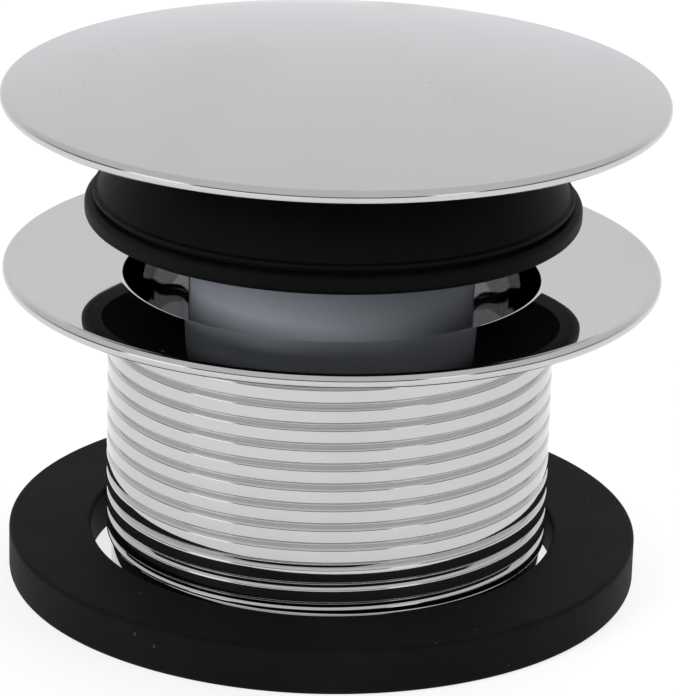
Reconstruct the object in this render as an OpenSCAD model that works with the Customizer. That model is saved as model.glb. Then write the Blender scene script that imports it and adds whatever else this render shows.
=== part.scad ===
// Tip-toe bath drain: a flanged, threaded drain body with a push-push stopper in it and a loose tub washer
// round its foot. Millimetres, Z up. The origin is the centre of the foot, on the surface that it stands on.
// The stopper is drawn raised: pressed down once it latches shut, and pressed again it springs back up.

/* [Drain body] */
// Height of the drain body, from its foot to the rim of its flange
body_h = 35; // [34:0.5:45]
// Radius of the flange
flange_r = 35; // [31:0.5:40]
// Thickness of the flange at its rounded rim
flange_rim_t = 1.5; // [1:0.1:2]
// Fall of the flange's top, from its rim down to the opening
flange_dish = 0.9; // [0.2:0.1:1.2]
// Thickness of the flange beside the opening
flange_t = 2.2; // [2:0.1:3]
// Width of the flat ring under the flange that seats on the tub
flange_seat_w = 5; // [3:0.5:6]
// Outside radius of the thread
thread_r = 23.85; // [23.6:0.05:24.2]
// Height of the thread's lower end above the foot
thread_start = 4; // [3:0.5:8]
// Depth of the plain foot below the thread's outside
thread_depth = 0.5; // [0.3:0.1:1]
// Radius of the waterway
bore_r = 22; // [21:0.1:22.4]
// Radius of the rounded edge between the waterway and the flange
mouth_round = 0.95; // [0.5:0.05:1.3]
// Chamfer of the foot
foot_chamfer = 0.5; // [0.2:0.1:1]

/* [Cross bars] */
// Width of each of the four bars
bar_w = 3.4; // [2:0.1:5]
// Height of the bars
bar_h = 4.5; // [3:0.1:5]
// Height of the boss and the bars above the surface that the foot stands on
boss_lift = 1; // [0.5:0.1:2]
// Radius of the boss
boss_r = 8; // [7:0.5:9]
// Height of the boss
boss_h = 6; // [5.2:0.1:7]

/* [Post] */
// Outside radius of the post's thread in the boss
post_thread_r = 4.76; // [4.5:0.01:5]
// Radius of the post's shaft
post_r = 4; // [3.6:0.05:4.3]
// Width of the hexagon across its flats
hex_af = 14; // [12:0.1:14]
// Height of the hexagon
hex_h = 4; // [3:0.5:5]
// Length of the shaft above the retaining clip
post_tail = 3.5; // [2:0.1:4.5]
// Chamfer at both ends of the post
post_chamfer = 0.6; // [0.3:0.1:0.9]
// Width of the driver slot in the post's top
slot_w = 1.4; // [1:0.1:2]
// Depth of the driver slot
slot_depth = 1.6; // [1:0.1:1.8]
// Radius of the lock washer
lock_r = 7.6; // [6.5:0.1:8]
// Thickness of the lock washer
lock_t = 0.9; // [0.6:0.1:1.2]
// Number of teeth round the lock washer
lock_teeth = 12; // [8:1:16]
// Width of the notches between the lock washer's teeth
lock_notch_w = 1.2; // [0.8:0.1:1.4]
// Depth of the notches between the lock washer's teeth
lock_notch_depth = 1; // [0.6:0.1:1.2]

/* [Latch] */
// Travel of the stopper
stroke = 5.4; // [5.2:0.1:8]
// Outside radius of the guide barrel
barrel_r = 7; // [6.5:0.1:7.2]
// Radius of the hooks on the guide barrel
hook_r = 9.5; // [9:0.1:9.6]
// Depth of the rest notch under each hook
hook_notch = 0.6; // [0.3:0.1:0.8]
// Radius of the index crown
crown_r = 9.62; // [9.4:0.01:9.8]
// Thickness of the index crown under its teeth
crown_base = 2; // [1.5:0.1:3]
// Height of the index crown's teeth
tooth_h = 1.4; // [1:0.1:1.6]
// Width of the notch between two teeth
tooth_gap = 4.8; // [4:0.1:5.2]
// Height of the rotor's lugs
lug_h = 2.4; // [2:0.1:2.8]
// Width of the rotor's lugs
lug_w = 3.6; // [3:0.1:4]
// Slope of the lugs' underside, as the rise over their width
lug_slope = 0.8; // [0.4:0.1:1]
// Height of the rotor's ring under its lugs
rotor_below = 0.6; // [0.4:0.1:1]
// Height of the rotor's ring over its lugs
rotor_above = 1.2; // [0.8:0.1:2]
// Outside radius of the retaining clip on the post
clip_r = 6; // [5.4:0.1:6.5]
// Thickness of the retaining clip
clip_t = 0.8; // [0.6:0.1:1]
// Depth of the clip's groove in the post
clip_groove = 0.6; // [0.4:0.1:0.8]
// Width of the opening in the side of the clip
clip_slot = 5.4; // [4:0.1:5.8]

/* [Spring] */
// Thickness of the spring seat
seat_t = 0.9; // [0.6:0.1:1.5]
// Radius of the spring's wire
wire_r = 0.55; // [0.4:0.05:0.65]
// Radius of the spring at the middle of its wire
coil_r = 9.3; // [8.5:0.1:10.5]
// Number of turns, with the closed one at each end
turns = 6; // [5:0.5:6.5]

/* [Sleeve] */
// Outside radius of the sleeve
sleeve_r = 15.1; // [15:0.1:16]
// Wall of the sleeve
sleeve_wall = 1.2; // [0.9:0.1:1.3]
// Thickness of the sleeve's head
head_t = 2.2; // [2:0.1:3]
// Height of the sleeve's edge under the snap ring
sleeve_edge = 0.8; // [0.6:0.1:1.2]
// Chamfer of the sleeve's lower end
sleeve_chamfer = 0.3; // [0.1:0.1:0.5]
// Thickness of the snap ring
snap_t = 1; // [0.8:0.1:1.2]
// Width of the snap ring's band
snap_w = 1.9; // [1.5:0.1:2.2]
// Depth of the snap ring's groove in the sleeve
snap_groove = 0.65; // [0.4:0.05:0.8]
// Width of the opening in the snap ring
snap_gap = 6; // [5:0.5:8]
// Radius of the eyes at the ends of the snap ring
eye_r = 1.3; // [1.1:0.1:1.5]
// Radius of the holes in the eyes
eye_hole_r = 0.6; // [0.4:0.1:0.7]
// Thickness of the stop lip at the foot of the guide bush
bush_lip_t = 1.5; // [1.2:0.1:2]
// Wall of the thrust tube
thrust_wall = 1.3; // [1:0.1:1.5]
// Radius of the ring seal's cord
oring_r = 0.75; // [0.6:0.05:0.9]

/* [Seal] */
// Radius of the seal's lip
lip_r = 26.3; // [25:0.1:28]
// Height of the rounded lip
lip_h = 2.1; // [1.8:0.1:2.6]
// Height of the seal's seat on the sleeve above the lower edge of its lip
bell_depth = 7.5; // [6.5:0.1:8]
// Radius of the bell's round shoulder in section
bell_round = 11.9; // [11.5:0.1:12.5]
// Thickness of the bell
bell_t = 1.8; // [1.4:0.1:2]
// Depth of the shoulder's centre under the lip's lower edge
bell_drop = 2; // [1.6:0.1:2.2]
// Step from the lip's radius in to the bell's widest radius
bell_step = 0.2; // [0.1:0.1:0.4]
// Radius of the fine bead above the lip
bead_r = 0.3; // [0.2:0.05:0.4]
// Radius of the seal plate
plate_r = 13; // [10:0.5:16]
// Thickness of the seal plate
plate_t = 0.8; // [0.6:0.1:1.2]

/* [Cap] */
// Radius of the cap
cap_r = 35.2; // [32:0.1:40]
// Thickness of the cap's rounded rim
cap_rim_t = 1.5; // [1.3:0.1:2]
// Thickness of the cap's dome
cap_t = 1.2; // [0.8:0.1:1.4]
// Height of the dome's top over the middle of the rim
cap_rise = 4; // [3:0.1:6]
// Radius of the hub under the dome
hub_r = 7; // [6:0.5:9]
// Height of the hub
hub_h = 5.9; // [4:0.1:7]
// Depth of the stud's hole in the hub
hub_hole = 3.1; // [2.5:0.1:3.4]
// Radius of the stud
stud_r = 3.97; // [3:0.01:4.2]

/* [Tub washer] */
// Radius of the tub washer
washer_r = 34; // [30:0.5:38]
// Radius of the washer's hole
washer_hole_r = 25.1; // [24.9:0.05:27]
// Thickness of the washer
washer_t = 5; // [3:0.1:5.4]
// Distance that the loose washer lies off the centre, to the left
washer_shift = 0.4; // [0:0.05:0.5]
// Chamfer of the washer's edges
washer_chamfer = 0.3; // [0.1:0.1:0.6]

/* [Clearances] */
// Radial clearance of a running fit
run_fit = 0.08; // [0.04:0.01:0.1]
// Radial clearance of a piece that slips over or into another when it is put together
slip_fit = 0.1; // [0.05:0.01:0.15]
// Play of a ring or tube along the axis
end_play = 0.1; // [0.05:0.01:0.2]
// Gap left between the seal's lip and the flange when the stopper is down
lip_gap = 0.35; // [0.3:0.05:0.5]
// Gap left between the sleeve and the boss when the stopper is down
floor_gap = 1.1; // [0.8:0.1:1.5]
// Gap between the guide bush's lip and the crown when the stopper is up
stop_gap = 0.2; // [0.15:0.05:0.4]
// Gap between the lugs and the crown's teeth when the stopper is down
index_gap = 0.3; // [0.2:0.05:0.5]
// Gap between the lugs and the hooks over them when the stopper is down
hook_gap = 0.8; // [0.5:0.1:0.9]
// Gap between the lugs and the hooks under them when the stopper is up
start_gap = 0.5; // [0.3:0.1:0.6]
// Clearance on each side of a lug in its gap between two hooks
lug_gap = 0.5; // [0.4:0.05:0.8]
// Clearance round the hexagon inside the guide bush
hex_gap = 0.32; // [0.3:0.01:0.5]
// Gap between the spring's closed end turns and the next ones
coil_gap = 0.03; // [0.02:0.01:0.1]
// Clearance of pieces that only pass each other
pass_gap = 0.3; // [0.2:0.05:0.5]

/* [Hidden] */
$fn = 96;
chrome = [0.82, 0.83, 0.85];
rubber = [0.09, 0.09, 0.09];
satin = [0.46, 0.48, 0.51];
brass = [0.80, 0.65, 0.34];
plastic = [0.93, 0.92, 0.88];
steel = [0.62, 0.63, 0.65];
cut = 1;                      // how far a cutting shape runs past the face that it cuts
dome_fn = 720;                // facets of the dome's very large circle
bar_count = 4;
bar_turn = 45;                // the bars stand between the front and the sides
hex_sides = 6;
latch_count = 4;
quarter = 360 / latch_count;
tooth_count = 2 * latch_count;

// Drain body: the flange's top is a straight cone from the rim's crown to the opening
rim_r = flange_r - flange_rim_t / 2;
opening_r = bore_r + mouth_round;
root_r = thread_r - thread_depth;
mouth_z = body_h - flange_dish;
under_z = mouth_z - flange_t;
function flange_z(r) = body_h - flange_dish * (rim_r - r) / (rim_r - opening_r);

// The fixed stack on the boss
boss_top = boss_lift + boss_h;
hex_z = boss_top + lock_t;
hex_top = hex_z + hex_h;
hex_corner_r = hex_af / 2 / cos(180 / hex_sides);

// Lower end of the sleeve and what hangs in it, with the stopper up
sleeve_z = boss_top + floor_gap + stroke;
sleeve_in_r = sleeve_r - sleeve_wall;
snap_z = sleeve_z + sleeve_edge;
snap_r = sleeve_in_r + snap_groove - slip_fit;
bush_z = snap_z + snap_t + end_play;
bush_r = sleeve_in_r - run_fit;
bush_bore_r = crown_r + run_fit;
bush_lip_r = hex_corner_r + hex_gap;

// Latch: the crown is the upper stop's seat, and the lugs' two ends of travel place the hooks
crown_z = bush_z + bush_lip_t + stop_gap;
crown_tip = crown_z + crown_base + tooth_h;
lug_z = crown_tip + index_gap + stroke;
hook_z = lug_z - stroke + lug_h + hook_gap;
hook_top = lug_z - start_gap;
rotor_z = lug_z - rotor_below;
rotor_top = lug_z + lug_h + rotor_above;
rotor_r = sleeve_in_r - pass_gap;
rotor_bore_r = bush_bore_r + slip_fit;
lug_in_r = barrel_r + lug_gap;
bush_top = rotor_z - end_play;
barrel_bore_r = post_r + run_fit;
barrel_z = crown_z + crown_base;
barrel_top = rotor_top + stop_gap - clip_t;

// Spring, between its seat on the clip and the sleeve's head
seat_z = barrel_top + clip_t;
spring_z = seat_z + seat_t;
thrust_r = sleeve_in_r - slip_fit;
thrust_z = rotor_top + end_play;
thrust_in_r = thrust_r - thrust_wall;
seat_r = thrust_in_r - pass_gap;
post_top = seat_z + post_tail;

// Seal and cap, placed from the flange that the lip closes on
lip_z = flange_z(lip_r) + lip_gap + stroke;
sleeve_top = lip_z + bell_depth;
head_z = sleeve_top - head_t;
seal_top = sleeve_top + bell_t;
bell_c_r = lip_r - bell_step - bell_round;
bell_c_z = lip_z - bell_drop;
stud_hole_r = stud_r + slip_fit;
oring_c_r = stud_hole_r + oring_r;
oring_depth = 2 * oring_r;
plate_top = seal_top + plate_t;
dome_z = plate_top + hub_h;
cap_top = dome_z + cap_t;
cap_rim_r = cap_r - cap_rim_t / 2;
cap_rim_z = cap_top - cap_rise;
// Radius of the dome that runs smoothly into the rim's circle, from the two circles' tangency
dome_r = (pow(cap_rim_r, 2) + pow(cap_rise, 2) - pow(cap_rim_t / 2, 2)) / (2 * cap_rise - cap_rim_t);
dome_c_z = cap_top - dome_r;
stud_z = head_z;
stud_top = plate_top + hub_hole;

// Spring's centre line: one closed turn at each end and even turns between
spring_h = head_z - spring_z;
open_turns = turns - 2;
closed_rise = 2 * wire_r + coil_gap;
open_rise = (spring_h - 2 * wire_r - 2 * closed_rise) / open_turns;
wire_sides = 10;
turn_steps = 28;
function coil_z(t) = wire_r + (t < 1 ? t * closed_rise
                             : t < 1 + open_turns ? closed_rise + (t - 1) * open_rise
                             : closed_rise + open_turns * open_rise + (t - 1 - open_turns) * closed_rise);

module ring(r_out, r_in, h) {
    difference() {
        cylinder(r = r_out, h = h);
        translate([0, 0, -cut]) cylinder(r = r_in, h = h + 2 * cut);
    }
}

// A bar of the given width and height that points out along X between two radii
module spoke(r_in, r_out, w, h) {
    translate([r_in, -w / 2, 0]) cube([r_out - r_in, w, h]);
}

module around(count, start = 0) {
    for (i = [0 : count - 1]) rotate(start + i * 360 / count) children();
}

module body_profile() {
    difference() {
        union() {
            polygon([
                [bore_r, 0], [root_r - foot_chamfer, 0], [root_r, foot_chamfer], [root_r, thread_start],
                [thread_r, thread_start + thread_depth], [thread_r, under_z],
                [thread_r + flange_seat_w, under_z], [rim_r, body_h - flange_rim_t], [rim_r, body_h],
                [opening_r, mouth_z], [bore_r, mouth_z]
            ]);
            translate([rim_r, body_h - flange_rim_t / 2]) circle(r = flange_rim_t / 2);
        }
        difference() {
            translate([bore_r - cut, mouth_z - mouth_round]) square([mouth_round + cut, mouth_round + cut]);
            translate([opening_r, mouth_z - mouth_round]) circle(r = mouth_round);
        }
    }
}

module drain_body() {
    color(chrome) {
        difference() {
            union() {
                rotate_extrude() body_profile();
                translate([0, 0, boss_lift]) {
                    cylinder(r = boss_r, h = boss_h);
                    around(bar_count, bar_turn) spoke(0, (bore_r + root_r) / 2, bar_w, bar_h);
                }
            }
            translate([0, 0, boss_lift - cut]) cylinder(r = post_thread_r, h = boss_h + 2 * cut);
        }
    }
}

module tub_washer() {
    color(rubber) translate([-washer_shift, 0, 0]) rotate_extrude() polygon([
        [washer_hole_r + washer_chamfer, 0], [washer_r - washer_chamfer, 0], [washer_r, washer_chamfer],
        [washer_r, washer_t - washer_chamfer], [washer_r - washer_chamfer, washer_t],
        [washer_hole_r + washer_chamfer, washer_t], [washer_hole_r, washer_t - washer_chamfer],
        [washer_hole_r, washer_chamfer]
    ]);
}

module post() {
    color(brass) difference() {
        union() {
            rotate_extrude() polygon([
                [0, boss_lift], [post_thread_r - post_chamfer, boss_lift],
                [post_thread_r, boss_lift + post_chamfer], [post_thread_r, hex_z], [post_r, hex_z],
                [post_r, post_top - post_chamfer], [post_r - post_chamfer, post_top], [0, post_top]
            ]);
            translate([0, 0, hex_z]) cylinder(r = hex_corner_r, h = hex_h, $fn = hex_sides);
        }
        translate([0, 0, barrel_top]) ring(post_r + cut, post_r - clip_groove, clip_t);
        translate([-post_r, -slot_w / 2, post_top - slot_depth]) cube([2 * post_r, slot_w, slot_depth + cut]);
    }
}

module lock_washer() {
    color(steel) translate([0, 0, boss_top]) difference() {
        ring(lock_r, post_thread_r + slip_fit, lock_t);
        translate([0, 0, -cut]) around(lock_teeth)
            spoke(lock_r - lock_notch_depth, lock_r + cut, lock_notch_w, lock_t + 2 * cut);
    }
}

// Saw-tooth notch seen from outside: one upright flank and one long ramp
module tooth_notch() {
    rotate([90, 0, 90]) linear_extrude(crown_r + cut)
        polygon([[-tooth_gap / 2, cut], [-tooth_gap / 2, 0], [tooth_gap / 2, -tooth_h], [tooth_gap / 2, cut]]);
}

module index_crown() {
    color(plastic) {
        translate([0, 0, hex_top]) ring(barrel_r, barrel_bore_r, barrel_z - hex_top);
        difference() {
            translate([0, 0, crown_z]) ring(crown_r, barrel_bore_r, crown_base + tooth_h);
            translate([0, 0, barrel_z]) cylinder(r = barrel_r, h = tooth_h + cut);
            translate([0, 0, crown_tip]) around(tooth_count, quarter / 4) tooth_notch();
        }
    }
}

module guide_barrel() {
    color(plastic) {
        translate([0, 0, barrel_z]) ring(barrel_r, barrel_bore_r, barrel_top - barrel_z);
        difference() {
            translate([0, 0, hook_z]) ring(hook_r, barrel_bore_r, hook_top - hook_z);
            translate([0, 0, hook_z - cut]) {
                around(latch_count)
                    spoke(barrel_r, hook_r + cut, lug_w + 2 * lug_gap, hook_top - hook_z + 2 * cut);
                around(latch_count, quarter / 2)
                    spoke(barrel_r, hook_r + cut, lug_w + lug_gap, hook_notch + cut);
            }
        }
    }
}

module post_clip() {
    color(steel) translate([0, 0, barrel_top]) difference() {
        ring(clip_r, post_r - clip_groove, clip_t);
        translate([0, 0, -cut]) rotate(bar_turn) spoke(0, clip_r + cut, clip_slot, clip_t + 2 * cut);
    }
}

module spring_seat() {
    color(steel) translate([0, 0, seat_z]) ring(seat_r, post_r + pass_gap, seat_t);
}

module spring() {
    steps = ceil(turns * turn_steps);
    points = [for (i = [0 : steps], k = [0 : wire_sides - 1])
        let (t = i * turns / steps, a = 360 * t, b = 360 * k / wire_sides, r = coil_r + wire_r * cos(b))
            [r * cos(a), r * sin(a), spring_z + coil_z(t) + wire_r * sin(b)]];
    sides = [for (i = [0 : steps - 1], k = [0 : wire_sides - 1])
        let (n = (k + 1) % wire_sides, lo = i * wire_sides, hi = lo + wire_sides)
            [lo + k, hi + k, hi + n, lo + n]];
    ends = [[for (k = [0 : wire_sides - 1]) k], [for (k = [wire_sides - 1 : -1 : 0]) steps * wire_sides + k]];
    color(steel) polyhedron(points, concat(sides, ends), convexity = 10);
}

module rotor() {
    lug_run = rotor_bore_r + cut - lug_in_r;
    color(plastic) {
        translate([0, 0, rotor_z]) ring(rotor_r, rotor_bore_r, rotor_top - rotor_z);
        intersection() {
            translate([0, 0, lug_z]) around(latch_count) translate([lug_in_r, 0, 0]) rotate([90, 0, 90])
                linear_extrude(lug_run)
                    polygon([[-lug_w / 2, 0], [lug_w / 2, lug_slope], [lug_w / 2, lug_h], [-lug_w / 2, lug_h]]);
            translate([0, 0, rotor_z]) cylinder(r = rotor_r, h = rotor_top - rotor_z);
        }
    }
}

module guide_bush() {
    color(plastic) translate([0, 0, bush_z]) {
        ring(bush_r, bush_lip_r, bush_lip_t);
        ring(bush_r, bush_bore_r, bush_top - bush_z);
    }
}

module snap_ring() {
    eye_c_r = snap_r - snap_w;
    eye_angle = asin((snap_gap / 2 + eye_r) / eye_c_r);
    color(steel) translate([0, 0, snap_z]) difference() {
        union() {
            difference() {
                ring(snap_r, snap_r - snap_w, snap_t);
                translate([0, 0, -cut]) spoke(0, snap_r + cut, snap_gap, snap_t + 2 * cut);
            }
            for (side = [-1, 1]) rotate(side * eye_angle) translate([eye_c_r, 0, 0]) cylinder(r = eye_r, h = snap_t);
        }
        for (side = [-1, 1]) rotate(side * eye_angle) translate([eye_c_r, 0, -cut])
            cylinder(r = eye_hole_r, h = snap_t + 2 * cut);
    }
}

module thrust_tube() {
    color(plastic) translate([0, 0, thrust_z]) ring(thrust_r, thrust_in_r, head_z - thrust_z);
}

module sleeve() {
    color(satin) difference() {
        rotate_extrude() polygon([
            [sleeve_in_r, sleeve_z], [sleeve_r - sleeve_chamfer, sleeve_z], [sleeve_r, sleeve_z + sleeve_chamfer],
            [sleeve_r, sleeve_top], [stud_r, sleeve_top], [stud_r, head_z], [sleeve_in_r, head_z]
        ]);
        translate([0, 0, snap_z - end_play / 2]) cylinder(r = sleeve_in_r + snap_groove, h = snap_t + end_play);
        translate([0, 0, sleeve_top - oring_depth]) cylinder(r = oring_c_r + oring_r, h = oring_depth + cut);
    }
}

module stud_seal() {
    color(rubber) translate([0, 0, sleeve_top - oring_r]) rotate_extrude()
        translate([oring_c_r, 0]) circle(r = oring_r);
}

module bell_section(r) {
    translate([bell_c_r, bell_c_z]) circle(r = r);
}

module seal() {
    color(rubber) rotate_extrude() difference() {
        union() {
            intersection() {
                bell_section(bell_round);
                translate([bell_c_r, lip_z]) square([bell_round, seal_top - lip_z]);
            }
            translate([stud_hole_r, sleeve_top]) square([bell_c_r - stud_hole_r + cut, bell_t]);
            translate([bell_c_r, lip_z]) square([lip_r - lip_h / 2 - bell_c_r, lip_h]);
            translate([lip_r - lip_h / 2, lip_z + lip_h / 2]) circle(r = lip_h / 2);
            translate([bell_c_r + sqrt(pow(bell_round, 2) - pow(bell_drop + lip_h + 2 * bead_r, 2)),
                       lip_z + lip_h + 2 * bead_r]) circle(r = bead_r);
        }
        intersection() {
            union() {
                bell_section(bell_round - bell_t);
                translate([0, lip_z - cut]) square([bell_c_r, sleeve_top]);
            }
            translate([0, lip_z - cut]) square([lip_r, sleeve_top - lip_z + cut]);
        }
    }
}

module seal_plate() {
    color(brass) translate([0, 0, seal_top]) ring(plate_r, stud_hole_r, plate_t);
}

module cap_stud() {
    color(brass) translate([0, 0, stud_z]) cylinder(r = stud_r, h = stud_top - stud_z);
}

module dome_section(r) {
    translate([0, dome_c_z]) circle(r = r, $fn = dome_fn);
}

module cap_hub() {
    color(brass) rotate_extrude() difference() {
        intersection() {
            dome_section(dome_r - cap_t);
            translate([0, plate_top]) square([hub_r, hub_h + cut]);
        }
        translate([0, plate_top - cut]) square([stud_r, hub_hole + cut]);
    }
}

module cap() {
    color(chrome) rotate_extrude() {
        intersection() {
            difference() {
                dome_section(dome_r);
                dome_section(dome_r - cap_t);
            }
            translate([0, cap_rim_z - cap_rim_t]) square([cap_rim_r, cap_rise + 2 * cap_rim_t]);
        }
        translate([cap_rim_r, cap_rim_z]) circle(r = cap_rim_t / 2);
    }
}

drain_body();
tub_washer();
post();
lock_washer();
index_crown();
guide_barrel();
post_clip();
spring_seat();
spring();
rotor();
guide_bush();
snap_ring();
thrust_tube();
sleeve();
stud_seal();
seal();
seal_plate();
cap_stud();
cap_hub();
cap();
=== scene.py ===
"""Looks of a tip-toe bath drain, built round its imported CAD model.

Every length is in metres in the frame of the CAD model: Z is up along the drain's axis, and the camera looks
from -Y. Sizes in the dataclasses are in millimetres, as a maker would write them, and are turned into metres
where a mesh is made; only the lamps are written in metres.
"""

import logging
import math
from collections.abc import Callable, Sequence
from dataclasses import dataclass, field
from enum import Enum

import bmesh
import bpy
from mathutils import Matrix, Vector


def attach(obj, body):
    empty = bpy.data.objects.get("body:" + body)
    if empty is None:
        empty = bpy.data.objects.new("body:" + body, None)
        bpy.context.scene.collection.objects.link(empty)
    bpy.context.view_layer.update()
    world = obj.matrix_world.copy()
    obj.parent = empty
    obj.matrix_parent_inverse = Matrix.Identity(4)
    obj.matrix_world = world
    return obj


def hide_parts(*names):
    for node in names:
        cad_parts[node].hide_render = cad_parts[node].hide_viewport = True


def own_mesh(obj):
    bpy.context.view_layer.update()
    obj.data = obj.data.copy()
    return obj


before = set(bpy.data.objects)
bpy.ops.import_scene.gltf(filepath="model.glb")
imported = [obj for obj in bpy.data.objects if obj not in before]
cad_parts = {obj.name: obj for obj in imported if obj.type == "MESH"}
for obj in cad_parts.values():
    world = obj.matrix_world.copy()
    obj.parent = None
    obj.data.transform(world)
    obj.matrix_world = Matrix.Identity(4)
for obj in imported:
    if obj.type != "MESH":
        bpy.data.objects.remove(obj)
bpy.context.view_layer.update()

MM = 0.001
IMAGE_W, IMAGE_H = 680, 696
LOG = logging.getLogger("bath_drain")

Point = tuple[float, float]
Colour = tuple[float, float, float]


class Body(Enum):
    """The rigid bodies of the CAD model."""

    DRAIN = "drain"
    CARRIER = "carrier"
    STOPPER = "stopper"
    ROTOR = "latch_rotor"
    WASHER = "loose_washer"


class Slot(Enum):
    """The record's material slots."""

    BODY_CHROME = "body_chrome"
    CAP_CHROME = "cap_chrome"
    SLEEVE = "sleeve_plastic"
    WASHER_RUBBER = "washer_rubber"
    SEAL_RUBBER = "seal_rubber"
    BRASS = "turned_brass"
    STEEL = "spring_steel"
    WHITE_PLASTIC = "white_plastic"
    GREY_PLASTIC = "grey_plastic"


# ---- Outlines and meshes ----


@dataclass(frozen=True)
class Corner:
    """A corner of an outline in the half-plane through the axis, rounded by `fillet` (all in mm)."""

    r: float
    z: float
    fillet: float = 0.0


def rounded(corners: Sequence[Corner], closed: bool = True, steps: int = 8) -> list[Point]:
    """Turns corners into an outline with true arcs, and puts one support point beside each arc.

    Args:
        corners: the corners in order.
        closed: whether the last corner joins the first.
        steps: the arc's number of segments.

    Returns:
        The outline's points (r, z) in mm.
    """
    out: list[Point] = []
    count = len(corners)
    for i, corner in enumerate(corners):
        here = Vector((corner.r, corner.z))
        if corner.fillet <= 0 or (not closed and i in (0, count - 1)):
            out.append((corner.r, corner.z))
            continue
        before, after = corners[i - 1], corners[(i + 1) % count]
        u = Vector((before.r, before.z)) - here
        v = Vector((after.r, after.z)) - here
        angle = u.angle(v)
        reach = corner.fillet / math.tan(angle / 2)
        limit = 0.49 * min(u.length, v.length)
        reach = min(reach, limit)
        radius = reach * math.tan(angle / 2)
        u.normalize()
        v.normalize()
        centre = here + (u + v).normalized() * (radius / math.sin(angle / 2))
        start, end = here + u * reach, here + v * reach
        support = min(0.12 * radius, limit - reach)
        if support > 1e-4:
            out.append(tuple(start + u * support))
        a0 = math.atan2(start.y - centre.y, start.x - centre.x)
        a1 = math.atan2(end.y - centre.y, end.x - centre.x)
        turn = (a1 - a0 + math.pi) % (2 * math.pi) - math.pi
        for k in range(steps + 1):
            a = a0 + turn * k / steps
            out.append((centre.x + radius * math.cos(a), centre.y + radius * math.sin(a)))
        if support > 1e-4:
            out.append(tuple(end + v * support))
    return out


def arc(centre: Point, radius: float, start: float, end: float, steps: int) -> list[Corner]:
    """Corners along an arc, with angles in degrees from +r towards +z."""
    return [Corner(centre[0] + radius * math.cos(math.radians(start + (end - start) * k / steps)),
                   centre[1] + radius * math.sin(math.radians(start + (end - start) * k / steps)))
            for k in range(steps + 1)]


def add_mesh(name: str, points: Sequence[Sequence[float]], faces: Sequence[Sequence[int]],
             crease: float = 40.0) -> bpy.types.Object:
    """Makes a smooth-shaded object whose edges are sharp beyond the angle `crease`.

    Args:
        name: the object's name.
        points: the vertices in mm.
        faces: the faces' vertex indices.
        crease: the largest angle in degrees that is shaded smooth.

    Returns:
        The new object, at the origin, in metres.
    """
    mesh = bpy.data.meshes.new(name)
    mesh.from_pydata([(x * MM, y * MM, z * MM) for x, y, z in points], [], [list(f) for f in faces])
    build = bmesh.new()
    build.from_mesh(mesh)
    bmesh.ops.remove_doubles(build, verts=build.verts, dist=1e-7)
    bmesh.ops.recalc_face_normals(build, faces=build.faces)
    build.to_mesh(mesh)
    build.free()
    mesh.shade_smooth()
    mesh.set_sharp_from_angle(angle=math.radians(crease))
    obj = bpy.data.objects.new(name, mesh)
    bpy.context.scene.collection.objects.link(obj)
    return obj


def lathe(name: str, outline: Sequence[Point], segments: int, closed: bool = True,
          wave: Callable[[float, float, float], tuple[float, float]] | None = None) -> bpy.types.Object:
    """Turns an outline round the axis.

    Args:
        name: the object's name.
        outline: points (r, z) in mm.
        segments: the number of steps round the axis.
        closed: whether the outline's last point joins its first.
        wave: takes (r, z, angle) and gives the moved (r, z), for a piece that isn't quite true.

    Returns:
        The turned object.
    """
    count = len(outline)
    points: list[tuple[float, float, float]] = []
    for m in range(segments):
        a = 2 * math.pi * m / segments
        for r, z in outline:
            if wave:
                r, z = wave(r, z, a)
            points.append((r * math.sin(a), -r * math.cos(a), z))
    faces = []
    for m in range(segments):
        n = (m + 1) % segments
        for k in range(count if closed else count - 1):
            j = (k + 1) % count
            faces.append((m * count + k, n * count + k, n * count + j, m * count + j))
    return add_mesh(name, points, faces)


def rounded_block(name: str, size: tuple[float, float, float], centre: tuple[float, float, float],
                  radius: float, turn: float = 0.0) -> bpy.types.Object:
    """A block with rounded edges, turned by `turn` degrees about the Z axis after it is placed (mm)."""
    build = bmesh.new()
    bmesh.ops.create_cube(build, size=1.0)
    bmesh.ops.scale(build, vec=Vector(size) * MM, verts=build.verts)
    bmesh.ops.translate(build, vec=Vector(centre) * MM, verts=build.verts)
    bmesh.ops.rotate(build, cent=(0, 0, 0), matrix=Matrix.Rotation(math.radians(turn), 3, "Z"), verts=build.verts)
    bmesh.ops.bevel(build, geom=list(build.edges), offset=radius * MM, segments=4, profile=0.5, affect="EDGES")
    mesh = bpy.data.meshes.new(name)
    build.to_mesh(mesh)
    build.free()
    mesh.shade_smooth()
    mesh.set_sharp_from_angle(angle=math.radians(40))
    obj = bpy.data.objects.new(name, mesh)
    bpy.context.scene.collection.objects.link(obj)
    return obj


def join(name: str, objects: Sequence[bpy.types.Object]) -> bpy.types.Object:
    """Joins objects into one mesh object called `name`."""
    build = bmesh.new()
    for obj in objects:
        part = obj.data.copy()
        part.transform(obj.matrix_world)
        build.from_mesh(part)
        bpy.data.meshes.remove(part)
        bpy.data.objects.remove(obj)
    mesh = bpy.data.meshes.new(name)
    build.to_mesh(mesh)
    build.free()
    obj = bpy.data.objects.new(name, mesh)
    bpy.context.scene.collection.objects.link(obj)
    return obj


# ---- Shader nodes ----


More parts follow.
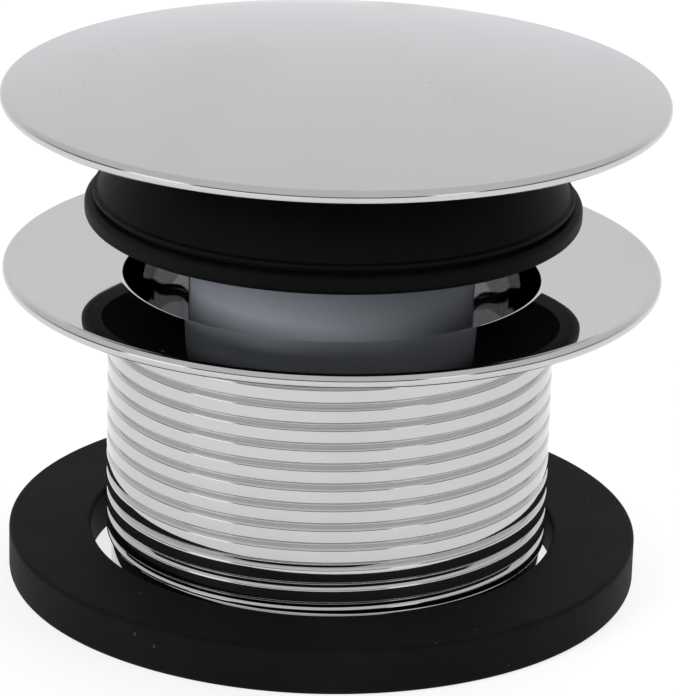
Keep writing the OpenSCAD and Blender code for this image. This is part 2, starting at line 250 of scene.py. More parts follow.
class Nodes:
    """A short way to write a node tree: each call adds one node and links what it is given."""

    def __init__(self, tree: bpy.types.NodeTree) -> None:
        """Starts on an empty tree."""
        self.tree = tree
        tree.nodes.clear()

    def add(self, kind: str, *, out: int | str = 0, settings: dict[str, object] | None = None,
            **inputs: object) -> bpy.types.NodeSocket:
        """Adds a node and gives one of its outputs.

        Args:
            kind: the node's type without its "ShaderNode" prefix.
            out: the output's index or name.
            settings: the node's own properties.
            inputs: input values or sockets, by name with _ for a space, or as i0, i1 by index.

        Returns:
            The chosen output socket.
        """
        node = self.tree.nodes.new("ShaderNode" + kind)
        for key, value in (settings or {}).items():
            setattr(node, key, value)
        for key, value in inputs.items():
            socket = node.inputs[int(key[1:])] if key[0] == "i" and key[1:].isdigit() else node.inputs[
                key.replace("_", " ")]
            if isinstance(value, bpy.types.NodeSocket):
                self.tree.links.new(value, socket)
            else:
                socket.default_value = value
        return node.outputs[out] if len(node.outputs) else None

    def math(self, operation: str, a: object, b: object = 0.0) -> bpy.types.NodeSocket:
        """A Math node."""
        return self.add("Math", settings={"operation": operation}, i0=a, i1=b)

    def ramp(self, value: object, stops: Sequence[tuple[float, Colour]]) -> bpy.types.NodeSocket:
        """A colour ramp with the given stops."""
        node = self.tree.nodes.new("ShaderNodeValToRGB")
        node.color_ramp.interpolation = "LINEAR"
        elements = node.color_ramp.elements
        while len(elements) > 1:
            elements.remove(elements[-1])
        elements[0].position, elements[0].color = stops[0][0], (*stops[0][1], 1)
        for position, colour in stops[1:]:
            elements.new(position).color = (*colour, 1)
        self.tree.links.new(value, node.inputs[0])
        return node.outputs[0]

    def mix(self, factor: object, a: object, b: object) -> bpy.types.NodeSocket:
        """A colour mix."""
        node = self.tree.nodes.new("ShaderNodeMix")
        node.data_type = "RGBA"
        for socket, value in ((node.inputs["Factor"], factor), (node.inputs[6], a), (node.inputs[7], b)):
            if isinstance(value, bpy.types.NodeSocket):
                self.tree.links.new(value, socket)
            else:
                socket.default_value = (*value, 1) if isinstance(value, tuple) and len(value) == 3 else value
        return node.outputs[2]

    def span(self, value: object, low: float, high: float) -> bpy.types.NodeSocket:
        """A smooth Map Range from low..high to 0..1."""
        return self.add("MapRange", settings={"interpolation_type": "SMOOTHSTEP"}, Value=value, i1=low, i2=high)


class Effect:
    """A shader node group that several finishes share."""

    def __init__(self, name: str, inputs: dict[str, float], outputs: Sequence[str]) -> None:
        """Makes the group's tree and sockets.

        Args:
            name: the group's name.
            inputs: the float inputs and their defaults.
            outputs: the float outputs.
        """
        self.group = bpy.data.node_groups.new(name, "ShaderNodeTree")
        self.write = Nodes(self.group)
        for label, default in inputs.items():
            socket = self.group.interface.new_socket(label, in_out="INPUT", socket_type="NodeSocketFloat")
            socket.default_value = default
        for label in outputs:
            self.group.interface.new_socket(label, in_out="OUTPUT", socket_type="NodeSocketFloat")
        self.inside = self.group.nodes.new("NodeGroupInput")
        self.outside = self.group.nodes.new("NodeGroupOutput")
        self.position = self.write.add("TexCoord", out="Object")

    def put(self, label: str, value: bpy.types.NodeSocket) -> None:
        """Links a value to one of the group's outputs."""
        self.group.links.new(value, self.outside.inputs[label])

    def place(self, nodes: Nodes, **values: float) -> dict[str, bpy.types.NodeSocket]:
        """Places the group in a material.

        Args:
            nodes: the material's node writer.
            values: the group's input values, with _ for a space.

        Returns:
            The group's outputs by name.
        """
        node = nodes.tree.nodes.new("ShaderNodeGroup")
        node.node_tree = self.group
        for label, value in values.items():
            node.inputs[label.replace("_", " ")].default_value = value
        return {socket.name: socket for socket in node.outputs}


class Effects:
    """The shared effects, each built once."""

    def __init__(self) -> None:
        """Builds every group."""
        self.grain = self._grain()
        self.specks = self._specks()
        self.smudges = self._smudges()
        self.turning = self._turning()

    @staticmethod
    def _grain() -> Effect:
        """Fine even texture: Value varies about a half, and Height is for a bump."""
        effect = Effect("fine_grain", {"Scale": 1500.0, "Softness": 0.6}, ("Value", "Height"))
        noise = effect.write.add("TexNoise", Vector=effect.position, Scale=effect.inside.outputs["Scale"],
                                 Roughness=effect.inside.outputs["Softness"], Detail=4.0)
        effect.put("Value", noise)
        effect.put("Height", effect.write.span(noise, 0.3, 0.7))
        return effect

    @staticmethod
    def _specks() -> Effect:
        """Scattered small dots, such as dust and pits: Mask is 1 inside a dot."""
        effect = Effect("scattered_specks", {"Scale": 300.0, "Size": 0.12, "Share": 0.2}, ("Mask",))
        cells = effect.group.nodes.new("ShaderNodeTexVoronoi")
        effect.group.links.new(effect.position, cells.inputs["Vector"])
        effect.group.links.new(effect.inside.outputs["Scale"], cells.inputs["Scale"])
        near = effect.write.math("LESS_THAN", cells.outputs["Distance"], effect.inside.outputs["Size"])
        parts = effect.write.add("SeparateColor", Color=cells.outputs["Color"])
        chosen = effect.write.math("LESS_THAN", parts, effect.inside.outputs["Share"])
        effect.put("Mask", effect.write.math("MULTIPLY", near, chosen))
        return effect

    @staticmethod
    def _smudges() -> Effect:
        """Large soft clouds, as wiping and handling leave them."""
        effect = Effect("soft_smudges", {"Scale": 40.0, "Stretch": 3.0}, ("Mask",))
        stretched = effect.write.add("CombineXYZ", X=effect.inside.outputs["Stretch"], Y=1.0, Z=1.0)
        place = effect.write.add("VectorMath", settings={"operation": "MULTIPLY"}, i0=effect.position, i1=stretched)
        noise = effect.write.add("TexNoise", Vector=place, Scale=effect.inside.outputs["Scale"], Detail=3.0,
                                 Distortion=0.6)
        effect.put("Mask", effect.write.span(noise, 0.42, 0.72))
        return effect

    @staticmethod
    def _turning() -> Effect:
        """Fine rings round the axis, as a lathe tool leaves them: Height is for a bump."""
        effect = Effect("turning_rings", {"Scale": 5000.0}, ("Height", "Value"))
        parts = effect.group.nodes.new("ShaderNodeSeparateXYZ")
        effect.group.links.new(effect.position, parts.inputs[0])
        x2 = effect.write.math("MULTIPLY", parts.outputs[0], parts.outputs[0])
        y2 = effect.write.math("MULTIPLY", parts.outputs[1], parts.outputs[1])
        radius = effect.write.math("SQRT", effect.write.math("ADD", x2, y2))
        along = effect.write.math("ADD", radius, parts.outputs[2])
        noise = effect.write.add("TexNoise", settings={"noise_dimensions": "1D"}, W=along,
                                 Scale=effect.inside.outputs["Scale"], Detail=2.0)
        effect.put("Height", noise)
        effect.put("Value", noise)
        return effect


def new_material(name: str, principled: dict[str, object]) -> tuple[bpy.types.Material, Nodes, bpy.types.Node]:
    """Starts a material with one Principled BSDF.

    Args:
        name: the material's name.
        principled: the shader's constant inputs, by their own names.

    Returns:
        The material, its node writer and the shader node.
    """
    material = bpy.data.materials.new(name)
    material.use_nodes = True
    nodes = Nodes(material.node_tree)
    shader = nodes.tree.nodes.new("ShaderNodeBsdfPrincipled")
    out = nodes.tree.nodes.new("ShaderNodeOutputMaterial")
    nodes.tree.links.new(shader.outputs[0], out.inputs[0])
    for key, value in principled.items():
        shader.inputs[key].default_value = value
    return material, nodes, shader


def bump(nodes: Nodes, shader: bpy.types.Node, height: bpy.types.NodeSocket, strength: float,
         distance: float) -> None:
    """Feeds a height to the shader's normal; distance is in mm."""
    nodes.tree.links.new(nodes.add("Bump", Height=height, Strength=strength, Distance=distance * MM),
                         shader.inputs["Normal"])


@dataclass(frozen=True)
class ChromeFinish:
    """Bright plating over a polished casting, with a faint haze, wipe marks and small pits."""

    name: str
    colour: Colour
    smooth: float
    hazy: float
    ripple: float
    smudge_scale: float = 40.0
    grain_scale: float = 900.0
    pit_roughness: float = 0.25
    dulling: float = 0.93
    dull_share: float = 0.5

    def build(self, effects: Effects) -> bpy.types.Material:
        """Makes the material."""
        material, nodes, shader = new_material(self.name, {"Metallic": 1.0})
        smudge = effects.smudges.place(nodes, Scale=self.smudge_scale, Stretch=2.5)["Mask"]
        grain = effects.grain.place(nodes, Scale=self.grain_scale, Softness=0.55)
        pits = effects.specks.place(nodes, Scale=420.0, Size=0.09, Share=0.10)["Mask"]
        rough = nodes.add("MapRange", Value=smudge, i3=self.smooth, i4=self.hazy)
        rough = nodes.math("ADD", rough, nodes.math("MULTIPLY", pits, self.pit_roughness))
        nodes.tree.links.new(rough, shader.inputs["Roughness"])
        dull = tuple(self.dulling * c for c in self.colour)
        nodes.tree.links.new(nodes.mix(nodes.math("MULTIPLY", smudge, self.dull_share), self.colour, dull),
                             shader.inputs["Base Color"])
        bump(nodes, shader, grain["Height"], self.ripple, 0.02)
        return material


@dataclass(frozen=True)
class RubberFinish:
    """Moulded black rubber with a fine skin, bloom in soft clouds and a little light dust."""

    name: str
    colour: Colour
    bloom: Colour
    dust: Colour
    sheen: float
    dust_share: float
    roughness: float = 0.62
    grain_scale: float = 2200.0
    dust_cover: float = 0.6

    def build(self, effects: Effects) -> bpy.types.Material:
        """Makes the material."""
        material, nodes, shader = new_material(self.name, {"Specular IOR Level": self.sheen})
        cloud = effects.smudges.place(nodes, Scale=70.0, Stretch=1.0)["Mask"]
        grain = effects.grain.place(nodes, Scale=self.grain_scale, Softness=0.7)
        specks = effects.specks.place(nodes, Scale=520.0, Size=0.10, Share=self.dust_share)["Mask"]
        base = nodes.mix(cloud, self.colour, self.bloom)
        base = nodes.mix(nodes.math("MULTIPLY", specks, self.dust_cover), base, self.dust)
        nodes.tree.links.new(base, shader.inputs["Base Color"])
        rough = nodes.add("MapRange", Value=grain["Value"], i3=self.roughness - 0.1, i4=self.roughness + 0.12)
        nodes.tree.links.new(rough, shader.inputs["Roughness"])
        bump(nodes, shader, nodes.math("ADD", grain["Height"], specks), 0.35, 0.03)
        return material


@dataclass(frozen=True)
class PlasticFinish:
    """Moulded plastic with a slight unevenness of tone and a satin skin."""

    name: str
    colour: Colour
    roughness: float = 0.42
    grain_scale: float = 1400.0
    deepening: float = 0.88
    deep_share: float = 0.6

    def build(self, effects: Effects) -> bpy.types.Material:
        """Makes the material."""
        material, nodes, shader = new_material(self.name, {"Specular IOR Level": 0.45})
        cloud = effects.smudges.place(nodes, Scale=90.0, Stretch=1.0)["Mask"]
        grain = effects.grain.place(nodes, Scale=self.grain_scale, Softness=0.6)
        deep = tuple(self.deepening * c for c in self.colour)
        nodes.tree.links.new(nodes.mix(nodes.math("MULTIPLY", cloud, self.deep_share), self.colour, deep),
                             shader.inputs["Base Color"])
        rough = nodes.add("MapRange", Value=grain["Value"], i3=self.roughness - 0.06, i4=self.roughness + 0.1)
        nodes.tree.links.new(rough, shader.inputs["Roughness"])
        bump(nodes, shader, grain["Height"], 0.12, 0.02)
        return material


@dataclass(frozen=True)
class TurnedFinish:
    """Bare machined metal with fine tool rings and uneven tarnish."""

    name: str
    colour: Colour
    tarnish: Colour
    roughness: float = 0.28
    ring_scale: float = 6000.0

    def build(self, effects: Effects) -> bpy.types.Material:
        """Makes the material."""
        material, nodes, shader = new_material(self.name, {"Metallic": 1.0})
        cloud = effects.smudges.place(nodes, Scale=120.0, Stretch=1.0)["Mask"]
        rings = effects.turning.place(nodes, Scale=self.ring_scale)
        nodes.tree.links.new(nodes.mix(cloud, self.colour, self.tarnish), shader.inputs["Base Color"])
        rough = nodes.add("MapRange", Value=rings["Value"], i3=self.roughness - 0.08, i4=self.roughness + 0.12)
        nodes.tree.links.new(rough, shader.inputs["Roughness"])
        bump(nodes, shader, rings["Height"], 0.25, 0.02)
        return material


class Finishes:
    """Every finish of the drain, built once and given out by the record's slot."""

    def __init__(self) -> None:
        """Builds the shared effects and the materials."""
        effects = Effects()
        recipes = {
            Slot.BODY_CHROME: ChromeFinish("plated_body", (0.555, 0.56, 0.565), smooth=0.015, hazy=0.04,
                                           ripple=0.010),
            Slot.CAP_CHROME: ChromeFinish("plated_cap", (0.565, 0.565, 0.57), smooth=0.09, hazy=0.2,
                                          smudge_scale=26.0, ripple=0.06),
            Slot.SLEEVE: PlasticFinish("satin_grey_sleeve", (0.20, 0.215, 0.24), 0.36, 1600.0),
            Slot.WASHER_RUBBER: RubberFinish("washer_rubber", (0.0034, 0.0028, 0.0026), (0.0062, 0.0051, 0.0045),
                                             (0.04, 0.037, 0.034), sheen=0.07, dust_share=0.10),
            Slot.SEAL_RUBBER: RubberFinish("seal_rubber", (0.0026, 0.0024, 0.0027), (0.0046, 0.0042, 0.0040),
                                           (0.03, 0.03, 0.03), roughness=0.5, sheen=0.05, dust_share=0.04),
            Slot.BRASS: TurnedFinish("turned_brass", (0.62, 0.45, 0.19), (0.42, 0.29, 0.13)),
            Slot.STEEL: TurnedFinish("spring_steel", (0.50, 0.51, 0.53), (0.36, 0.36, 0.38), 0.3, 9000.0),
            Slot.WHITE_PLASTIC: PlasticFinish("moulded_white", (0.76, 0.75, 0.70)),
            Slot.GREY_PLASTIC: PlasticFinish("moulded_grey", (0.16, 0.165, 0.175)),
        }
        self.materials = {slot: recipe.build(effects) for slot, recipe in recipes.items()}

    def dress(self, obj: bpy.types.Object, slot: Slot, body: Body, *nodes: str) -> bpy.types.Object:
        """Gives a new piece its finish and its body, and hides the CAD nodes that it stands for.

        Args:
            obj: the piece.
            slot: the finish.
            body: the rigid body that carries it.
            nodes: the CAD nodes that it replaces.

        Returns:
            The piece.
        """
        obj.data.materials.clear()
        obj.data.materials.append(self.materials[slot])
        if nodes:
            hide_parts(*nodes)
        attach(obj, body.value)
        LOG.info("%s: %d faces on %s", obj.name, len(obj.data.polygons), body.value)
        return obj

    def coat(self, node: str, slot: Slot) -> None:
        """Gives a CAD node that stays in view its finish."""
        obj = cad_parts[node]
        obj.data.materials.clear()
        obj.data.materials.append(self.materials[slot])
        LOG.info("%s keeps its CAD shape", node)


# ---- The drain body ----


@dataclass(frozen=True)
class PipeThread:
    """The right-handed thread of the tail: broad flat crests with a rounded groove between them (mm)."""

    pitch: float = 2.2087
    crest_r: float = 23.85
    depth: float = 0.50
    crest: float = 1.46
    crown: float = 0.012
    root: float = 0.10
    flank: float = 0.324
    worn_edge: float = 0.50
    sharp_edge: float = 0.10
    crest_z: float = 28.6
    start_z: float = 4.0
    end_z: float = 31.9
    foot_r: float = 23.35
    steps: int = 240

    def profile(self) -> list[Point]:
        """One pitch of the thread, upwards from the middle of a crest, as (radius, height)."""
        root_r, half = self.crest_r - self.depth, 0.5 * self.crest
        corners = [Corner(self.crest_r, -half), Corner(self.crest_r, half, self.worn_edge),
                   Corner(root_r, half + self.flank, 0.06), Corner(root_r, half + self.flank + self.root, 0.04),
                   Corner(self.crest_r, self.pitch - half, self.sharp_edge), Corner(self.crest_r, self.pitch + half)]
        points = [(self.crest_r, 0.0), *rounded(corners, closed=False, steps=7), (self.crest_r, self.pitch)]
        points += [(self.crest_r, k * half / 5) for k in range(1, 4)]
        points += [(self.crest_r, self.pitch - k * half / 5) for k in range(1, 4)]
        middle = sorted({(r, round(z, 5)) for r, z in points if 0.0 <= z <= self.pitch}, key=lambda p: p[1])
        return [(r - self.crown * (min(z, self.pitch - z) / half) ** 2, z) for r, z in middle]

    def radius_limit(self, z: float) -> float:
        """The 45-degree cone that the thread starts on, above the plain foot."""
        return self.foot_r + max(0.0, z - self.start_z)

    def build(self) -> bpy.types.Object:
        """Sweeps the profile along the helix and cuts it to its start and its end."""
        knots = self.profile()
        first = math.floor((self.start_z - self.crest_z) / self.pitch) - 1
        last = math.ceil((self.end_z - self.crest_z) / self.pitch) + 1
        points, faces = [], []
        total = (last - first) * self.steps + 1
        for s in range(total):
            turn = s / self.steps
            a = 2 * math.pi * turn
            for r, dz in knots:
                z = self.crest_z + (first + turn) * self.pitch + dz
                z = min(max(z, self.start_z), self.end_z)
                r = min(r, self.radius_limit(z))
                points.append((r * math.sin(a), -r * math.cos(a), z))
        width = len(knots)
        for s in range(total - 1):
            for k in range(width - 1):
                quad = (s * width + k, (s + 1) * width + k, (s + 1) * width + k + 1, s * width + k + 1)
                if len({round(points[i][2], 6) for i in quad}) > 1:
                    faces.append(quad)
        return add_mesh("tail_thread", points, faces, 50.0)


@dataclass
class DrainBody:
    """The one-piece plated casting: flange, threaded tail, plain foot, cross bars and boss (mm)."""

    height: float = 35.0
    flange_r: float = 35.0
    rim_t: float = 1.5
    dish: float = 0.9
    flange_t: float = 2.2
    seat_r: float = 28.85
    bore_r: float = 22.0
    mouth_round: float = 0.95
    foot_r: float = 23.35
    foot_chamfer: float = 0.5
    boss_r: float = 8.0
    boss_low: float = 1.0
    boss_h: float = 6.0
    bar_w: float = 3.4
    bar_h: float = 4.5
    bar_edge: float = 0.7
    bar_into_boss: float = 1.5
    post_r: float = 4.76
    thread: PipeThread = field(default_factory=PipeThread)

    def skin(self) -> bpy.types.Object:
        """The turned skin from the thread's start, round the foot, the bore and the flange to its underside."""
        rim_r = self.flange_r - self.rim_t / 2
        mouth_r = self.bore_r + self.mouth_round
        mouth_z = self.height - self.dish
        under = mouth_z - self.flange_t
        rim = arc((rim_r, self.height - self.rim_t / 2), self.rim_t / 2, 91.3, -90, 22)
        mouth = arc((mouth_r, mouth_z - self.mouth_round), self.mouth_round, 180, 91.3, 18)
        corners = [Corner(self.foot_r, self.thread.start_z), Corner(self.foot_r, self.foot_chamfer, 0.15),
                   Corner(self.foot_r - self.foot_chamfer, 0, 0.15), Corner(self.bore_r, 0, 0.3),
                   *mouth, *rim, Corner(self.seat_r, under, 0.5), Corner(self.foot_r - 0.2, under)]
        return lathe("flange_skin", rounded(corners, closed=False), 320, closed=False)

    def bars(self) -> list[bpy.types.Object]:
        """The four bars and the boss that they carry."""
        reach = (self.bore_r + self.foot_r) / 2
        length = reach - self.boss_r + self.bar_into_boss
        pieces = [rounded_block("bar", (length, self.bar_w, self.bar_h),
                                (reach - length / 2, 0, self.boss_low + self.bar_h / 2), self.bar_edge,
                                45 + 90 * i)
                  for i in range(4)]
        top = self.boss_low + self.boss_h
        boss = rounded([Corner(self.post_r, self.boss_low, 0.3), Corner(self.boss_r, self.boss_low, 0.6),
                        Corner(self.boss_r, top, 0.5), Corner(self.post_r, top, 0.3)])
        return [*pieces, lathe("boss", boss, 96)]

    def build(self, finishes: Finishes) -> None:
        """Builds and dresses the casting."""
        body = join("plated_drain_body", [self.skin(), self.thread.build(), *self.bars()])
        finishes.dress(body, Slot.BODY_CHROME, Body.DRAIN, "drain_body")


# ---- The rubber pieces ----


@dataclass
class TubWasher:
    """The loose flat washer, with soft edges and a slightly uneven cut (mm)."""

    radius: float = 34.0
    hole_r: float = 25.1
    thickness: float = 5.0
    shift: float = 0.4
    edge: float = 0.45

    def build(self, finishes: Finishes) -> None:
        """Builds and dresses the washer."""
        outline = rounded([Corner(self.hole_r, 0, self.edge), Corner(self.radius, 0, self.edge),
                           Corner(self.radius, self.thickness, self.edge),
                           Corner(self.hole_r, self.thickness, self.edge)], steps=6)

        def uneven(r: float, z: float, a: float) -> tuple[float, float]:
            """Lets the edges wander by a few hundredths of a millimetre."""
            wander = 0.03 * math.sin(3 * a + 0.7) + 0.02 * math.sin(7 * a + 2.1)
            return r + wander - 0.05 * (r > 30), z + (0.03 * math.sin(2 * a + 1.0) - 0.03) * (z > 2)

        obj = lathe("tub_washer_rubber", outline, 288, wave=uneven)
        obj.data.transform(Matrix.Translation((-self.shift * MM, 0, 0)))
        finishes.dress(obj, Slot.WASHER_RUBBER, Body.WASHER, "tub_washer")


@dataclass
class BellSeal:
    """The rubber bell: a round shoulder, a fine bead and a rounded lip that closes on the flange (mm)."""

    lip_r: float = 26.3
    lip_z: float = 40.117
    lip_h: float = 2.1
    step: float = 0.2
    shoulder: float = 11.9
    wall: float = 1.8
    drop: float = 2.0
    bead: float = 0.3
    depth: float = 7.5
    hole_r: float = 4.07

    def outline(self) -> list[Point]:
        """The bell's section, from its hole over the shoulder to the lip and back inside."""
        cr, cz = self.lip_r - self.step - self.shoulder, self.lip_z - self.drop
        top = self.lip_z + self.depth + self.wall
        seat = self.lip_z + self.depth
        lip_top = self.lip_z + self.lip_h
        groove_z = lip_top + 0.18
        bead_z = lip_top + 2 * self.bead

        def shoulder_r(z: float, radius: float) -> float:
            """Radius of the shoulder's circle at a height."""
            return cr + math.sqrt(radius ** 2 - (z - cz) ** 2)

        start = math.degrees(math.asin((bead_z + 0.35 - cz) / self.shoulder))
        bead_r = shoulder_r(bead_z, self.shoulder)
        end = math.degrees(math.asin((top - cz) / self.shoulder)) if top - cz < self.shoulder else 90
        outer = arc((cr, cz), self.shoulder, end, start, 40)
        inner_r = self.shoulder - self.wall
        low = math.degrees(math.asin((self.lip_z + 0.02 - cz) / inner_r))
        high = math.degrees(math.asin(min(1.0, (seat - cz) / inner_r)))
        inner = arc((cr, cz), inner_r, low, high, 30)
        corners = [Corner(self.hole_r, seat), Corner(self.hole_r, top), *outer,
                   Corner(bead_r + 0.02, bead_z + 0.3, 0.1), Corner(bead_r + 0.3, bead_z + 0.22, 0.1),
                   Corner(bead_r + 0.3, bead_z - 0.2, 0.1), Corner(bead_r - 0.25, groove_z + 0.1, 0.12),
                   Corner(bead_r - 0.2, lip_top, 0.1),
                   Corner(self.lip_r, lip_top, 0.7), Corner(self.lip_r, self.lip_z, 0.75),
                   *inner]
        return rounded(corners, steps=6)

    def build(self, finishes: Finishes) -> None:
        """Builds and dresses the seal."""
        def uneven(r: float, z: float, a: float) -> tuple[float, float]:
            """Lets the soft lip wave a little and leaves the clamped top true."""
            free = min(1.0, max(0.0, (r - 16) / 8))
            return r + free * 0.04 * math.sin(4 * a + 0.4), z + free * 0.05 * math.sin(3 * a + 1.3)

        bell = lathe("bell_seal_rubber", self.outline(), 288, wave=uneven)
        finishes.dress(bell, Slot.SEAL_RUBBER, Body.STOPPER, "seal")


# ---- The stopper ----


@dataclass
class Sleeve:
    """The smooth sleeve with a thick head, open below, with the snap ring's groove inside (mm)."""

    radius: float = 15.1
    wall: float = 1.2
    low: float = 13.5
    top: float = 47.617
    head: float = 2.2
    groove_z: float = 14.25
    groove_h: float = 1.1
    groove: float = 0.65
    stud_r: float = 3.97
    cord: float = 0.75
    cord_r: float = 5.57

    def build(self, finishes: Finishes) -> None:
        """Builds and dresses the sleeve."""
        inner = self.radius - self.wall
        corners = [Corner(inner, self.low, 0.2), Corner(self.radius, self.low, 0.35),
                   Corner(self.radius, self.top, 0.4), Corner(self.cord_r, self.top),
                   Corner(self.cord_r, self.top - 2 * self.cord), Corner(self.stud_r, self.top - 2 * self.cord),
                   Corner(self.stud_r, self.top - self.head),
                   Corner(inner, self.top - self.head, 0.5), Corner(inner, self.groove_z + self.groove_h),
                   Corner(inner + self.groove, self.groove_z + self.groove_h),
                   Corner(inner + self.groove, self.groove_z), Corner(inner, self.groove_z)]
        finishes.dress(lathe("satin_sleeve", rounded(corners), 256), Slot.SLEEVE, Body.STOPPER, "sleeve")


@dataclass
class Cap:
    """The thin domed cap with its rounded rim (mm)."""

    radius: float = 35.2
    rim_t: float = 1.5
    sheet: float = 1.2
    rise: float = 4.0
    top: float = 57.317

    def outline(self) -> list[Point]:
        """The cap's section from the centre of its top, round the rim and back under the dome."""
        rim_r, rim_z = self.radius - self.rim_t / 2, self.top - self.rise
        dome = (rim_r ** 2 + self.rise ** 2 - (self.rim_t / 2) ** 2) / (2 * self.rise - self.rim_t)
        centre = self.top - dome
        lean = math.degrees(math.atan2(rim_r, rim_z - centre))
        over = [(r, centre + math.sqrt(dome ** 2 - r ** 2)) for r in
                (0.02, *[rim_r * k / 60 for k in range(1, 60)])]
        rim = [(c.r, c.z) for c in arc((rim_r, rim_z), self.rim_t / 2, 90 - lean, -90 - lean, 32)]
        inner = dome - self.sheet
        reach = rim[-1][0] - 0.25
        under = [(r, centre + math.sqrt(inner ** 2 - r ** 2)) for r in
                 (*[reach * k / 50 for k in range(50, 0, -1)], 0.02)]
        return over + rim + under

    def build(self, finishes: Finishes) -> None:
        """Builds and dresses the cap."""
        finishes.dress(lathe("domed_cap", self.outline(), 384, closed=False), Slot.CAP_CHROME, Body.STOPPER, "cap")


@dataclass
class LiftSpring:
    """The compression spring, with a closed turn at each end (mm)."""

    low: float = 30.9
    high: float = 45.417
    wire: float = 0.55
    coil_r: float = 9.3
    turns: float = 6.0
    gap: float = 0.03
    stroke: float = 5.4

    def height(self, turn: float) -> float:
        """Height of the wire's middle after some turns."""
        closed = 2 * self.wire + self.gap
        free = self.turns - 2
        rise = (self.high - self.low - 2 * self.wire - 2 * closed) / free
        if turn < 1:
            return self.low + self.wire + turn * closed
        if turn < 1 + free:
            return self.low + self.wire + closed + (turn - 1) * rise
        return self.low + self.wire + closed + free * rise + (turn - 1 - free) * closed

    def build(self, finishes: Finishes) -> None:
        """Sweeps the wire."""
        steps, sides = int(self.turns * 72), 20
        points, faces = [], []
        for s in range(steps + 1):
            a = 2 * math.pi * self.turns * s / steps
            for k in range(sides):
                b = 2 * math.pi * k / sides
                r = self.coil_r + self.wire * math.cos(b)
                points.append((r * math.cos(a), r * math.sin(a),
                               self.height(self.turns * s / steps) + self.wire * math.sin(b)))
        for s in range(steps):
            for k in range(sides):
                n = (k + 1) % sides
                faces.append((s * sides + k, (s + 1) * sides + k, (s + 1) * sides + n, s * sides + n))
        faces += [list(range(sides)), [steps * sides + k for k in reversed(range(sides))]]
        wire = add_mesh("lift_spring_wire", points, faces)
        finishes.dress(wire, Slot.STEEL, Body.DRAIN, "spring")
        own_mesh(wire)


@dataclass
class Internals:
    """The CAD pieces that stay as they are, with their finishes."""

    slots: dict[str, Slot] = field(default_factory=lambda: {
        "post": Slot.BRASS, "seal_plate": Slot.BRASS, "cap_stud": Slot.BRASS, "cap_hub": Slot.BRASS,
        "lock_washer": Slot.STEEL, "post_clip": Slot.STEEL, "spring_seat": Slot.STEEL, "snap_ring": Slot.STEEL,
        "index_crown": Slot.WHITE_PLASTIC, "guide_barrel": Slot.WHITE_PLASTIC, "guide_bush": Slot.WHITE_PLASTIC,
        "rotor": Slot.GREY_PLASTIC, "thrust_tube": Slot.GREY_PLASTIC, "stud_seal": Slot.SEAL_RUBBER,
    })

    def build(self, finishes: Finishes) -> None:
        """Coats each piece."""
        for node, slot in self.slots.items():
            finishes.coat(node, slot)


# ---- The studio ----


@dataclass(frozen=True)
class Lamp:
    """A square soft lamp that points at the drain: place and size in metres, power in watts."""

    name: str
    place: tuple[float, float, float]
    size: float
    power: float


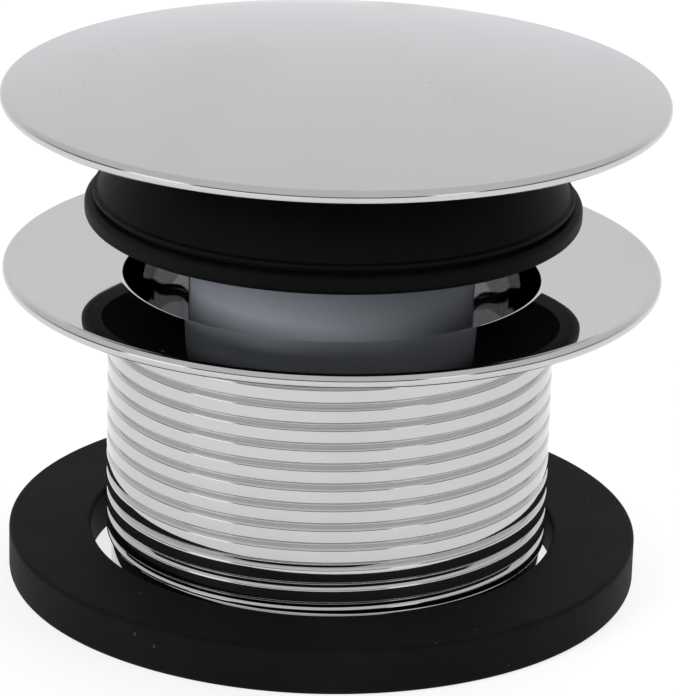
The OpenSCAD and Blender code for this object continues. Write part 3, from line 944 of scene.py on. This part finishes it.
@dataclass
class Studio:
    """Pale floor, soft lamps, a plain pale room, and the camera.

    Lengths are in mm, the camera's angles in radians and its focal length in pixels. `ring` gives the low walls'
    grey level at each bearing, in degrees from the front to the right: a dark band at the front, with a window on
    the left and a white card on the right. `floor_white` is the share of plain white in the floor that is seen
    directly, and the rest of it takes the shadow. `band_top`, `back_start` and `back_reach` are parts of the view's
    direction: where the band ends upwards, where the back wall begins, and the height over which it changes.
    """

    camera_y: float = 400.0
    camera_z: float = 173.3
    pan: float = 0.00266
    tilt: float = 0.35503
    roll: float = 0.0265
    focal_px: float = 3981.8
    floor_half: float = 3000.0
    floor_drop: float = 0.03
    floor_white: float = 0.78
    floor_colour: Colour = (0.93, 0.93, 0.93)
    ring: tuple[Point, ...] = ((-180, 0.9), (-130, 0.9), (-90, 0.10), (-74, 0.08), (-70, 1.7), (-50, 1.7),
                               (-46, 0.08), (30, 0.08), (34, 1.5), (46, 1.5), (50, 0.08), (95, 0.25), (130, 0.9),
                               (180, 0.9))
    upper_wall: Colour = (0.76, 0.76, 0.765)
    back_wall: tuple[tuple[float, Colour], ...] = ((0.0, (0.86, 0.87, 0.90)), (0.4, (0.89, 0.89, 0.90)),
                                                   (1.0, (0.90, 0.89, 0.865)))
    band_top: Point = (0.16, 0.26)
    back_start: Point = (0.58, 0.74)
    back_reach: float = 0.8
    soft_light: Colour = (0.26, 0.26, 0.265)
    lamp_aim: tuple[float, float, float] = (0, 0, 0.03)
    soft_lamps: tuple[Lamp, ...] = (Lamp("window_lamp", (-0.45, -0.50, 0.28), 0.30, 5.0),
                                    Lamp("ceiling_lamp", (0.10, 0.15, 0.70), 0.50, 5.0),
                                    Lamp("fill_lamp", (0.45, -0.35, 0.20), 0.30, 0.8))

    def camera(self) -> None:
        """Places the camera at the photograph's viewing angle."""
        forward = Vector((math.sin(self.pan) * math.cos(self.tilt), math.cos(self.pan) * math.cos(self.tilt),
                          -math.sin(self.tilt)))
        right = Vector((math.cos(self.pan), -math.sin(self.pan), 0))
        up = right.cross(forward)
        turned_right = math.cos(self.roll) * right + math.sin(self.roll) * up
        turned_up = math.cos(self.roll) * up - math.sin(self.roll) * right
        data = bpy.data.cameras.new("camera")
        data.lens = self.focal_px * data.sensor_width / max(IMAGE_W, IMAGE_H)
        data.clip_start, data.clip_end = 0.01, 20
        camera = bpy.data.objects.new("camera", data)
        rotation = Matrix((turned_right, turned_up, -forward)).transposed()
        camera.matrix_world = Matrix.Translation((0, -self.camera_y * MM, self.camera_z * MM)) @ rotation.to_4x4()
        bpy.context.scene.collection.objects.link(camera)
        bpy.context.scene.camera = camera

    def floor(self) -> None:
        """A plain pale floor that keeps the shadow; the camera and the plating see the same floor."""
        build = bmesh.new()
        bmesh.ops.create_grid(build, x_segments=1, y_segments=1, size=self.floor_half * MM)
        mesh = bpy.data.meshes.new("floor")
        build.to_mesh(mesh)
        build.free()
        floor = bpy.data.objects.new("floor", mesh)
        floor.location = (0, 0, -self.floor_drop * MM)
        bpy.context.scene.collection.objects.link(floor)
        material = bpy.data.materials.new("floor_finish")
        material.use_nodes = True
        nodes = Nodes(material.node_tree)
        diffuse = nodes.add("BsdfDiffuse", Color=(*self.floor_colour, 1))
        white = nodes.add("Emission", Color=(1, 1, 1, 1), Strength=1.0)
        share = nodes.math("MULTIPLY", self.direct_rays(nodes), self.floor_white)
        nodes.add("OutputMaterial", Surface=nodes.add("MixShader", i0=share, i1=diffuse, i2=white))
        mesh.materials.append(material)

    @staticmethod
    def direct_rays(nodes: Nodes) -> bpy.types.NodeSocket:
        """1 for what the camera sees, straight, in metal or through glass, and 0 for soft light."""
        rays = nodes.tree.nodes.new("ShaderNodeLightPath").outputs
        return nodes.math("MAXIMUM", nodes.math("MAXIMUM", rays["Is Camera Ray"], rays["Is Glossy Ray"]),
                          rays["Is Transmission Ray"])

    def room(self) -> None:
        """The world: one room for the camera and the plating alike, and an even light for matt surfaces."""
        world = bpy.data.worlds.new("studio_room")
        bpy.context.scene.world = world
        world.use_nodes = True
        nodes = Nodes(world.node_tree)
        direction = nodes.add("TexCoord", out="Generated")
        parts = nodes.tree.nodes.new("ShaderNodeSeparateXYZ")
        nodes.tree.links.new(direction, parts.inputs[0])
        x, y, z = parts.outputs
        angle = nodes.math("ARCTAN2", x, nodes.math("MULTIPLY", y, -1.0))
        place = nodes.add("MapRange", Value=angle, i1=-math.pi, i2=math.pi)
        walls = nodes.ramp(place, [((bearing + 180) / 360, (level, level, level)) for bearing, level in self.ring])
        back_wall = nodes.ramp(nodes.add("MapRange", Value=z, i1=0.0, i2=self.back_reach), self.back_wall)
        walls = nodes.mix(nodes.span(z, *self.band_top), walls, self.upper_wall)
        walls = nodes.mix(nodes.span(y, *self.back_start), walls, back_wall)
        lit = nodes.mix(self.direct_rays(nodes), self.soft_light, walls)
        nodes.add("OutputWorld", Surface=nodes.add("Background", Color=lit, Strength=1.0))

    def lamps(self) -> None:
        """Soft lamps that shade matt surfaces; the plating doesn't mirror them."""
        for soft in self.soft_lamps:
            data = bpy.data.lights.new(soft.name, "AREA")
            data.size, data.energy = soft.size, soft.power
            lamp = bpy.data.objects.new(soft.name, data)
            lamp.location = soft.place
            lamp.rotation_mode = "QUATERNION"
            lamp.rotation_quaternion = (Vector(self.lamp_aim) - Vector(soft.place)).to_track_quat("-Z", "Y")
            lamp.visible_glossy = False
            bpy.context.scene.collection.objects.link(lamp)

    def build(self) -> None:
        """Builds the whole studio."""
        bpy.context.scene.view_settings.view_transform = "Standard"
        self.camera()
        self.floor()
        self.room()
        self.lamps()
        LOG.info("studio ready")


def main() -> None:
    """Builds every sub-assembly in order."""
    logging.basicConfig(level=logging.INFO, format="%(name)s: %(message)s")
    Studio().build()
    finishes = Finishes()
    for assembly in (DrainBody(), TubWasher(), Sleeve(), BellSeal(), Cap(), LiftSpring(), Internals()):
        LOG.info("building %s", type(assembly).__name__)
        assembly.build(finishes)


if __name__ == "__main__":
    main()
